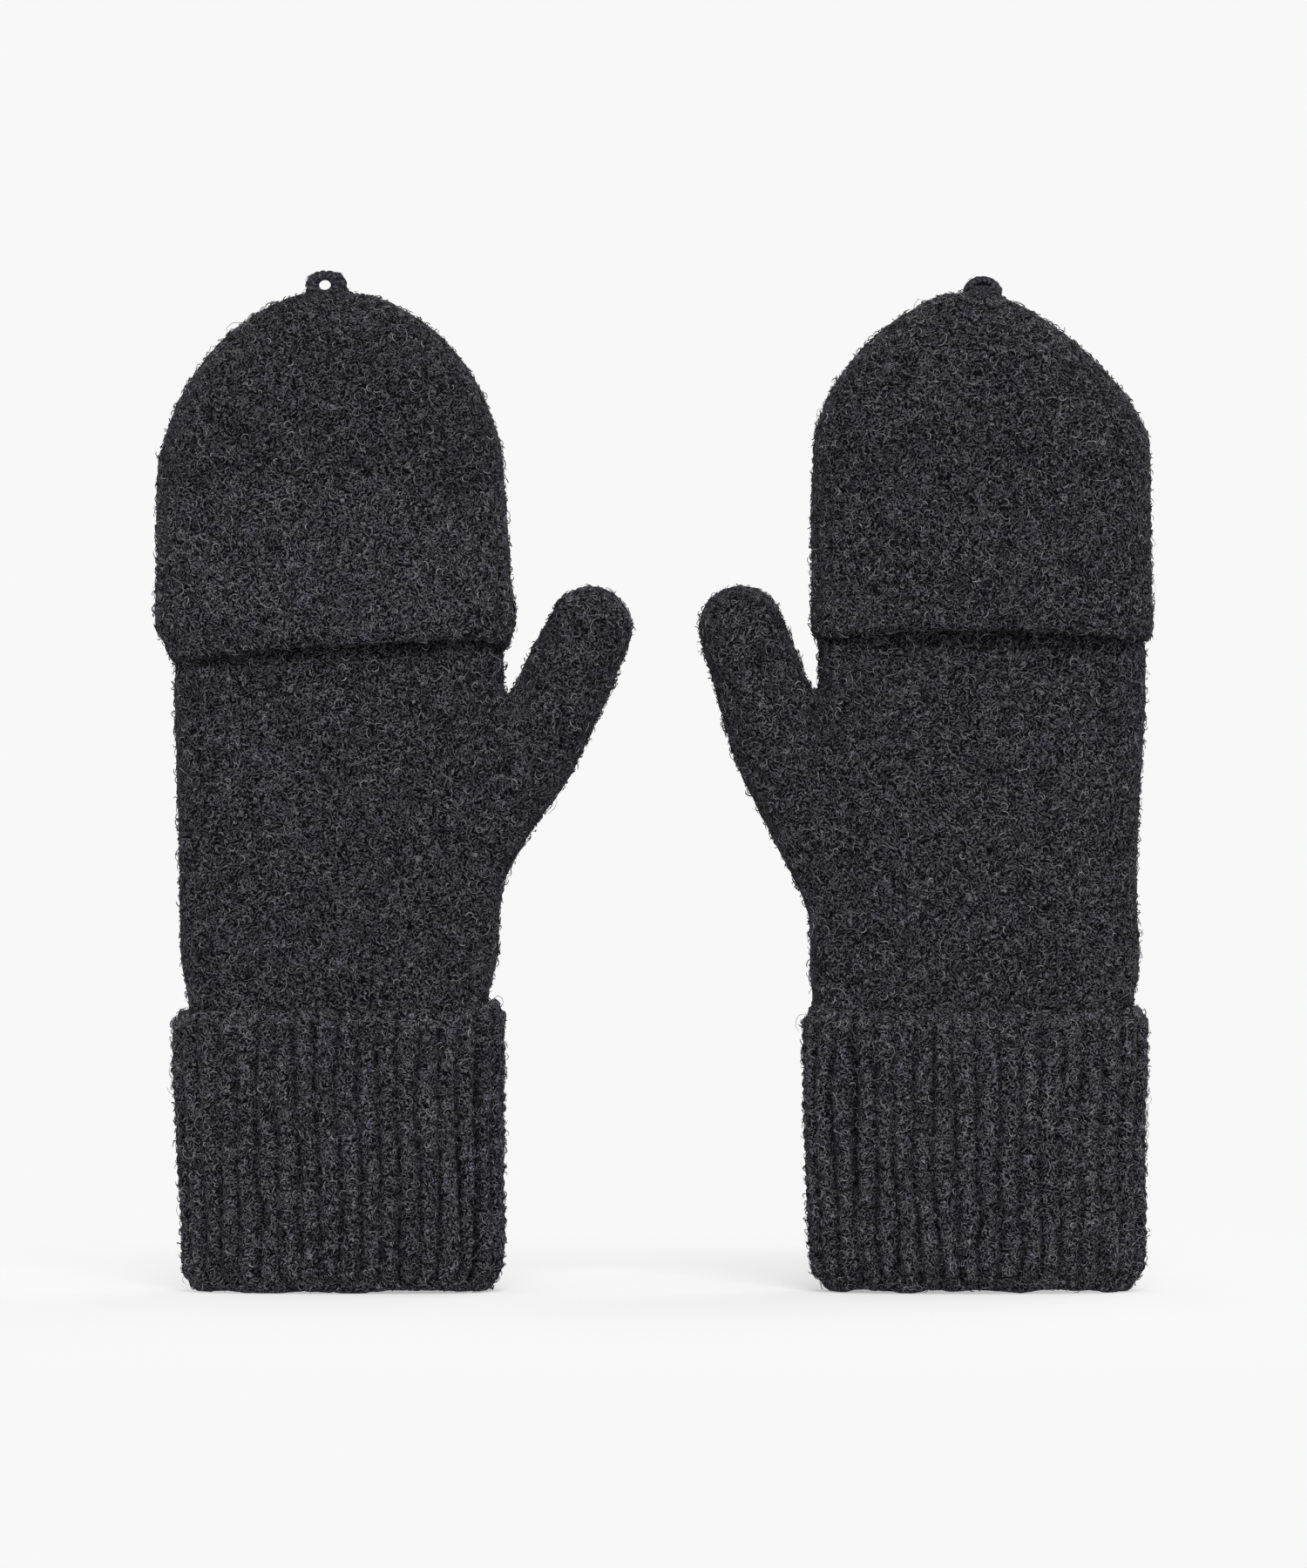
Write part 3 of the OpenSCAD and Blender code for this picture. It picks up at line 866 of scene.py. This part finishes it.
def make_cap(side, seed):
    """The pouch above the hinge line. It runs on as a band over palm and sides to a soft free edge."""
    wall = 2.5
    lo, hi = np.array([-54.0, -22.0, RIM_Z - 12]), np.array([54.0, 22.0, TIP_Z + 5])
    x, y, z = grid(lo, hi)
    whole = soften(cut(cap_field(side, x, y, z), z - DOME_TOP), 2)
    shell = cut(whole, -(whole + wall))
    edge = RIM_Z + curve(SHAPE[side]["free_edge"])(x)
    front = cut(edge - z, y - band_cut(z))
    reach = np.minimum(front + 0 * shell, HINGE_Z + 0.3 - z)
    cap = soften(-join(-shell, -reach, 2.6))
    points, quads = surface(cap, lo)
    outer_face = facing_out(whole, lo, points)
    band = ease(points[:, 2] + 1.5 * noise(points, 7.0, seed + 4), BAND_TOP + 5, BAND_TOP - 3) * outer_face
    columns = 0.24 * band * np.cos(2 * math.pi * points[:, 0] / BAND_COLUMN)
    points, relief = raise_boucle(points, quads, seed + 3, 0.42, columns)
    crown_tone, band_tone_and_light = SHAPE[side]["crown_and_band_tone_and_light"]
    # painted shade between the band's columns, through the relief; the band's paler tone is partly painted
    # light
    relief = relief + 1.2 * columns + crown_tone + (band_tone_and_light - crown_tone) * band
    nodes = ["cap_shell", "cap_rim"]
    piece = add_piece(side, "cap", points, quads, WOOL, "cap", nodes, relief)
    free_edge = (points[:, 2] < RIM_Z + 5) & facing_out(whole, lo, points, depth=2.3)
    keep = curl_rule(outer_face | free_edge, quads)
    fibres = add_curls(side, "cap", points, quads, keep, "cap", CURLS_PER_MM2, seed + 50)
    flatten(side, piece, fibres)


def flatten(side, *pieces):
    """Gives each piece a mesh of its own."""
    for piece in pieces:
        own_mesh(piece)


# ---- Linking row, loop and button ----

def make_linking_band(side, seed):
    """The back of the hand swells up to the line where the cap is linked to it.

    A selvedge goes on a little way inside the cap."""
    low = HINGE_Z - 17
    lo, hi = np.array([-54.0, -6.0, low - 4]), np.array([54.0, 22.0, HINGE_Z + 6])
    x, y, z = grid(lo, hi)
    palm = palm_field(side, x, y, np.minimum(z, ROOT_Z - 6))
    swell = ease(z, low - 2, HINGE_Z - 3)

    def swelling(at_palm, at_cap):
        return (1 - swell) * at_palm + swell * at_cap

    _, palm_outer, palm_thumb = SHAPE[side]["palm"][-1]
    left = swelling(palm_outer + 0.4, 0.6 - cap_edge(side, "outer", z))
    right = swelling(palm_thumb - 0.4, cap_edge(side, "thumb", z) - 0.6)
    half_t = swelling(HAND_HALF_T - 2.2, CAP_HALF_T - 0.5)
    outer = distance(oval(x, y, left, right, swelling(0.8, CAP_Y), half_t) + 0 * z)
    shown = cut(outer, cut(z - HINGE_Z - 0.2, band_cut(z) - 1.4 - y))
    selvedge = cut(outer + 2.7, cut(z - HINGE_Z - 2.6, band_cut(z) - 2.5 - y))
    band = cut(cut(np.minimum(shown, selvedge), -(outer + 5.2)), cut(-(palm - 0.1), low - z))
    points, quads = surface(soften(band), lo)
    keep = curl_rule(facing_out(outer, lo, points), quads)
    points, relief = raise_boucle(points, quads, seed, 0.34)
    add_piece(side, "cap_linking_band", points, quads, WOOL, "hand", ["cap_linking"], relief)
    add_curls(side, "cap_linking_band", points, quads, keep, "hand", CURLS_PER_MM2, seed + 60)


def make_linking_row(side, seed):
    """Three plies twisted together along the linking line, round the back from one side to the other."""
    plies, pitch, ply_r = 3, 4.2, 0.85
    outer, thumb = cap_edge(side, "outer", HINGE_Z), cap_edge(side, "thumb", HINGE_Z)
    middle, half = (thumb - outer) / 2, (thumb + outer) / 2
    along = np.linspace(-0.90, 0.90, 460)
    back = CAP_Y + (CAP_HALF_T - 0.2) * (1 - np.abs(along) ** KNIT_POWER) ** (1 / KNIT_POWER)
    ropes = []
    for ply in range(plies):
        turn = along * half * 2 * math.pi / pitch + ply * 2 * math.pi / plies
        y, z = back - 0.5 + 0.75 * np.cos(turn), HINGE_Z + 0.8 * np.sin(turn)
        line = np.stack([middle + along * half, y, z], 1)
        ropes.append(rope(line, ply_r, closed=False, sides=10))
    points, quads = gather(ropes)
    points, relief = raise_boucle(points, quads, seed + 7, 0.2)
    add_piece(side, "linking_row", points, quads, CORD, "hand", relief=relief)


def make_loop(side, seed):
    """The crocheted eye on the cap's tip. One that is drawn tight has only a slit for its eye."""
    step = 0.26
    shut = SHAPE[side]["shut_eye"]
    mid_x, mid_z = (LOOP_LO[0] + LOOP_HI[0]) / 2, LOOP_HI[2] - (6.4 if shut else 4.7)
    lo, hi = np.array([mid_x - 15, -8.0, TIP_Z - 8]), np.array([mid_x + 15, 8.0, LOOP_HI[2] + 3])
    x, y, z = grid(lo, hi, step)
    power = 2.0 if shut else 2.4
    lean = 0.0 if shut else 0.5
    ring = np.abs((x - mid_x - lean) / (5.1 + lean)) ** power + np.abs((z - mid_z) / 4.3) ** power
    ring = ring ** (1 / power) - 1
    foot = np.hypot((x - mid_x - (0.6 if shut else 2.6)) / 9.5, (z - mid_z + 6.4) / 4.6) - 1
    face = join(distance(ring + 0 * y, step), distance(foot + 0 * y, step), 3.4)
    slab = np.abs(y - CAP_Y) - (2.3 if shut else 1.5) + 0 * face
    body = -join(-face, -slab, 2.4)
    if shut:
        eye = np.hypot((x - mid_x) / 2.1, (z - mid_z - 2.2 + 0.12 * (x - mid_x) ** 2) / 0.5) - 1
        eye = cut(distance(eye + 0 * y, step), y - CAP_Y + 0.6)
    else:
        eye = distance(np.hypot((x - mid_x - 0.1) / 1.8, (z - mid_z - 0.35) / 1.45) - 1 + 0 * y, step)
    body = soften(-join(-body, eye, 0.6))
    points, quads = surface(body, lo, step, smoothing=1)
    turn = np.arctan2(points[:, 2] - mid_z, points[:, 0] - mid_x)
    away = np.hypot(points[:, 0] - mid_x, points[:, 2] - mid_z)
    plies = 0.20 * np.sin(14 * turn + 5.0 * (points[:, 1] - CAP_Y) / 1.5 + away * 0.8)
    points, relief = raise_boucle(points, quads, seed, 0.12, plies)
    # painted shade: the grooves between the plies are darkened in colour through the relief
    relief = relief * 0.4 + plies * 3
    piece = add_piece(side, "tip_eye", points, quads, CORD, "cap", ["tip_loop"], relief)

    def on_outside(centres, facing):
        return np.hypot(centres[:, 0] - mid_x, centres[:, 2] - mid_z) > 3.0

    fibres = add_curls(side, "tip_eye", points, quads, on_outside, "cap", 0.7, seed + 3,
                       radius=(0.3, 0.6), thick=(0.05, 0.09), lift=(0.0, 0.1))
    flatten(side, piece, fibres)


HOLE_OUT = 1.5
THREAD_R = 0.17


def make_button(side):
    """A four-hole button with a raised rim."""
    step = 0.16
    lo, hi = local_box(side, "button")
    mid_x, mid_z, r, thick = (lo[0] + hi[0]) / 2, (lo[2] + hi[2]) / 2, (hi[0] - lo[0]) / 2, hi[1] - lo[1]
    corner = np.array([mid_x - r - 1, lo[1] - 1, mid_z - r - 1])
    x, y, z = grid(corner, np.array([mid_x + r + 1, hi[1] + 1, mid_z + r + 1]), step)
    away = np.hypot(x - mid_x, z - mid_z)
    body = -join(r - away + 0 * y, thick / 2 - np.abs(y - lo[1] - thick / 2) + 0 * away, 1.3)
    dish = np.sqrt(away**2 + ((y - hi[1] - 6.4) * 0.9) ** 2) - 6.7
    body = -join(-body, dish, 0.5)
    for right in (-1, 1):
        for up in (-1, 1):
            hole = np.hypot(x - mid_x - right * HOLE_OUT, z - mid_z - up * HOLE_OUT) - 0.72 + 0 * y
            body = -join(-body, hole, 0.25)
    points, quads = surface(body, corner, step)
    add_piece(side, "horn_button", points, quads, HORN, "hand", ["button"])


def make_button_stitches(side):
    """Two bars of three strands through the button's holes, and the shank wound under it."""
    lo, hi = local_box(side, "button")
    mid_x, mid_z = (lo[0] + hi[0]) / 2, (lo[2] + hi[2]) / 2
    dish_y = hi[1] - 0.9
    back = local_box(side, "button_thread")[0][1]
    ropes = []
    for right in (-1, 1):
        for strand in (-1, 0, 1):
            t = np.linspace(0, 2 * math.pi, 40, endpoint=False)
            x = mid_x + right * HOLE_OUT + strand * 0.30 + 0.06 * np.sin(5 * t)
            over = 0.55 * np.abs(np.sin(t)) ** 0.6
            under = -(dish_y - back - 0.6) * np.abs(np.sin(t)) ** 0.5
            y = dish_y + np.where(np.sin(t) > 0, over, under)
            z = mid_z + HOLE_OUT * np.sign(np.cos(t)) * np.abs(np.cos(t)) ** 0.35
            ropes.append(rope(np.stack([x, y, z], 1), THREAD_R, closed=True))
    turn = np.linspace(0, 2 * math.pi * 5, 120)
    y = back + 0.45 + 0.17 * turn / math.pi / 2 * 1.3
    shank = np.stack([mid_x + 1.9 * np.cos(turn), y, mid_z + 1.9 * np.sin(turn)], 1)
    ropes.append(rope(shank, 0.2, closed=False))
    points, quads = gather(ropes)
    add_piece(side, "button_stitches", points, quads, THREAD, "hand", ["button_thread"])


def rope(line, r, closed, sides=8):
    """A round tube along a line of points. An open one ends in a small cone."""
    ahead = np.roll(line, -1, 0) - np.roll(line, 1, 0)
    if not closed:
        ahead[0], ahead[-1] = line[1] - line[0], line[-1] - line[-2]
    ahead /= np.linalg.norm(ahead, axis=1)[:, None]
    up = np.array([0.31, 0.83, 0.46])
    first = np.cross(ahead, up)
    first /= np.linalg.norm(first, axis=1)[:, None]
    second = np.cross(ahead, first)
    turn = 2 * math.pi * np.arange(sides) / sides
    size = np.full(len(line), r)
    if not closed:
        size[0] = size[-1] = r * 0.05
    ring = np.cos(turn)[None, :, None] * first[:, None] + np.sin(turn)[None, :, None] * second[:, None]
    points = line[:, None] + size[:, None, None] * ring
    rows = len(line) if closed else len(line) - 1
    j, i = np.meshgrid(np.arange(rows), np.arange(sides), indexing="ij")
    a, b = j * sides + i, j * sides + (i + 1) % sides
    up_row = (j + 1) % len(line) * sides
    return points.reshape(-1, 3), np.stack([a, b, up_row + (i + 1) % sides, up_row + i], -1).reshape(-1, 4)


def gather(meshes):
    """One (points, faces) mesh out of several."""
    starts = np.cumsum([0] + [len(points) for points, _ in meshes])
    faces = [quads + first for (_, quads), first in zip(meshes, starts)]
    return np.concatenate([points for points, _ in meshes]), np.concatenate(faces)


def make_edge_loops(side, seed):
    """Loops of yarn that stand out along one edge of the cuff."""
    which, share = SHAPE[side]["edge_loops"]
    outline = cuff_outline(side, 0.0)
    rng = np.random.default_rng(seed)
    turn = np.linspace(0, 2 * math.pi, 18, endpoint=False)
    loops, tones = [], []
    for z in np.arange(9.0, CUFF_TOP - 5, 2.7):
        x = outline(z)[which] + (0.5 - which) * 1.2 + rng.uniform(-0.3, 0.3)
        r = rng.uniform(1.0, 1.5)
        y = rng.uniform(-3, 3)
        lean = rng.uniform(-0.6, 0.6)
        thick = rng.uniform(0.2, 0.3)
        if rng.random() > share:
            continue
        line = np.stack([x + r * np.cos(turn), y + lean * r * np.sin(turn), z + 0.9 * r * np.sin(turn)], 1)
        loops.append(rope(line, thick, closed=True, sides=6))
        tones += [rng.uniform(0.5, 0.9)] * len(loops[-1][0])
    points, quads = gather(loops)
    add_piece(side, "cuff_edge_loops", points, quads, FIBRE, "cuff", relief=np.array(tones))


# ---- Both mittens ----

for order, side in enumerate(SIDES):
    seed = 1000 * (order + 1)
    make_turned_up_cuff(side, seed + 1)
    make_inner_cuff(side, seed + 1)
    make_edge_loops(side, seed + 60)
    make_hand(side, seed + 100)
    for index in range(len(FINGERS)):
        make_half_finger(side, index, seed + 200 + 10 * index)
    make_cap(side, seed + 300)
    make_linking_band(side, seed + 400)
    make_linking_row(side, seed + 400)
    make_loop(side, seed + 500)
    make_button(side)
    make_button_stitches(side)

# ---- Studio ----

PALE = 0.939


def floor_material():
    """Pale floor that takes the mittens' soft shadow close by and fades into the backdrop's own tone."""
    n = Nodes("studio_floor")
    n.set_shader(Base_Color=(0.6, 0.6, 0.6, 1), Roughness=0.95, Specular_IOR_Level=0.0)
    glow = n.add("ShaderNodeEmission")
    glow.inputs["Color"].default_value = (PALE, PALE, PALE, 1)
    far = n.vector("LENGTH", n.position(), out="Value")
    fade = n.add("ShaderNodeMapRange", interpolation_type="SMOOTHSTEP")
    n.link(far, fade.inputs["Value"])
    fade.inputs["From Min"].default_value = -250.0
    fade.inputs["From Max"].default_value = 420.0
    both = n.add("ShaderNodeMixShader")
    n.fill(both.inputs, (fade.outputs[0], n.shader.outputs[0], glow.outputs[0]))
    n.link(both.outputs[0], n.tree.nodes["Material Output"].inputs["Surface"])
    return n.material


def make_studio():
    bpy.ops.mesh.primitive_circle_add(vertices=96, radius=40.0, fill_type="NGON", location=(0, 0, 0))
    floor = bpy.context.object
    floor.name = "studio_floor"
    floor.data.materials.append(floor_material())
    world = bpy.data.worlds.new("studio")
    world.use_nodes = True
    background = world.node_tree.nodes["Background"]
    background.inputs["Color"].default_value = (PALE, PALE, PALE, 1)
    background.inputs["Strength"].default_value = 1.0
    bpy.context.scene.world = world
    lights = (("key", (0.12, -1.0, 0.92), 2.8, 28), ("back", (0.7, 1.0, 0.8), 0.9, 50))
    for name, where, strength, angle in lights:
        light = bpy.data.lights.new(name, "SUN")
        light.energy, light.angle = strength, math.radians(angle)
        lamp = bpy.data.objects.new(name, light)
        bpy.context.scene.collection.objects.link(lamp)
        lamp.location = where
        lamp.rotation_euler = direction_to_euler(-np.array(where))


def direction_to_euler(aim):
    """Rotation that points a lamp's -Z along aim."""
    return Vector(aim).to_track_quat("-Z", "Y").to_euler()


def make_camera():
    """Square on to the palms, from far enough back that the mittens show hardly any perspective."""
    frame_h = 0.4230
    back = 2.4
    middle = 0.1368
    data = bpy.data.cameras.new("camera")
    data.sensor_width = 36
    data.lens = data.sensor_width * back / frame_h
    data.clip_end = 100
    camera = bpy.data.objects.new("camera", data)
    bpy.context.scene.collection.objects.link(camera)
    camera.location = (0, -back, middle)
    camera.rotation_euler = (math.pi / 2, 0, 0)
    bpy.context.scene.camera = camera


make_studio()
make_camera()
bpy.context.scene.view_settings.view_transform = "Standard"
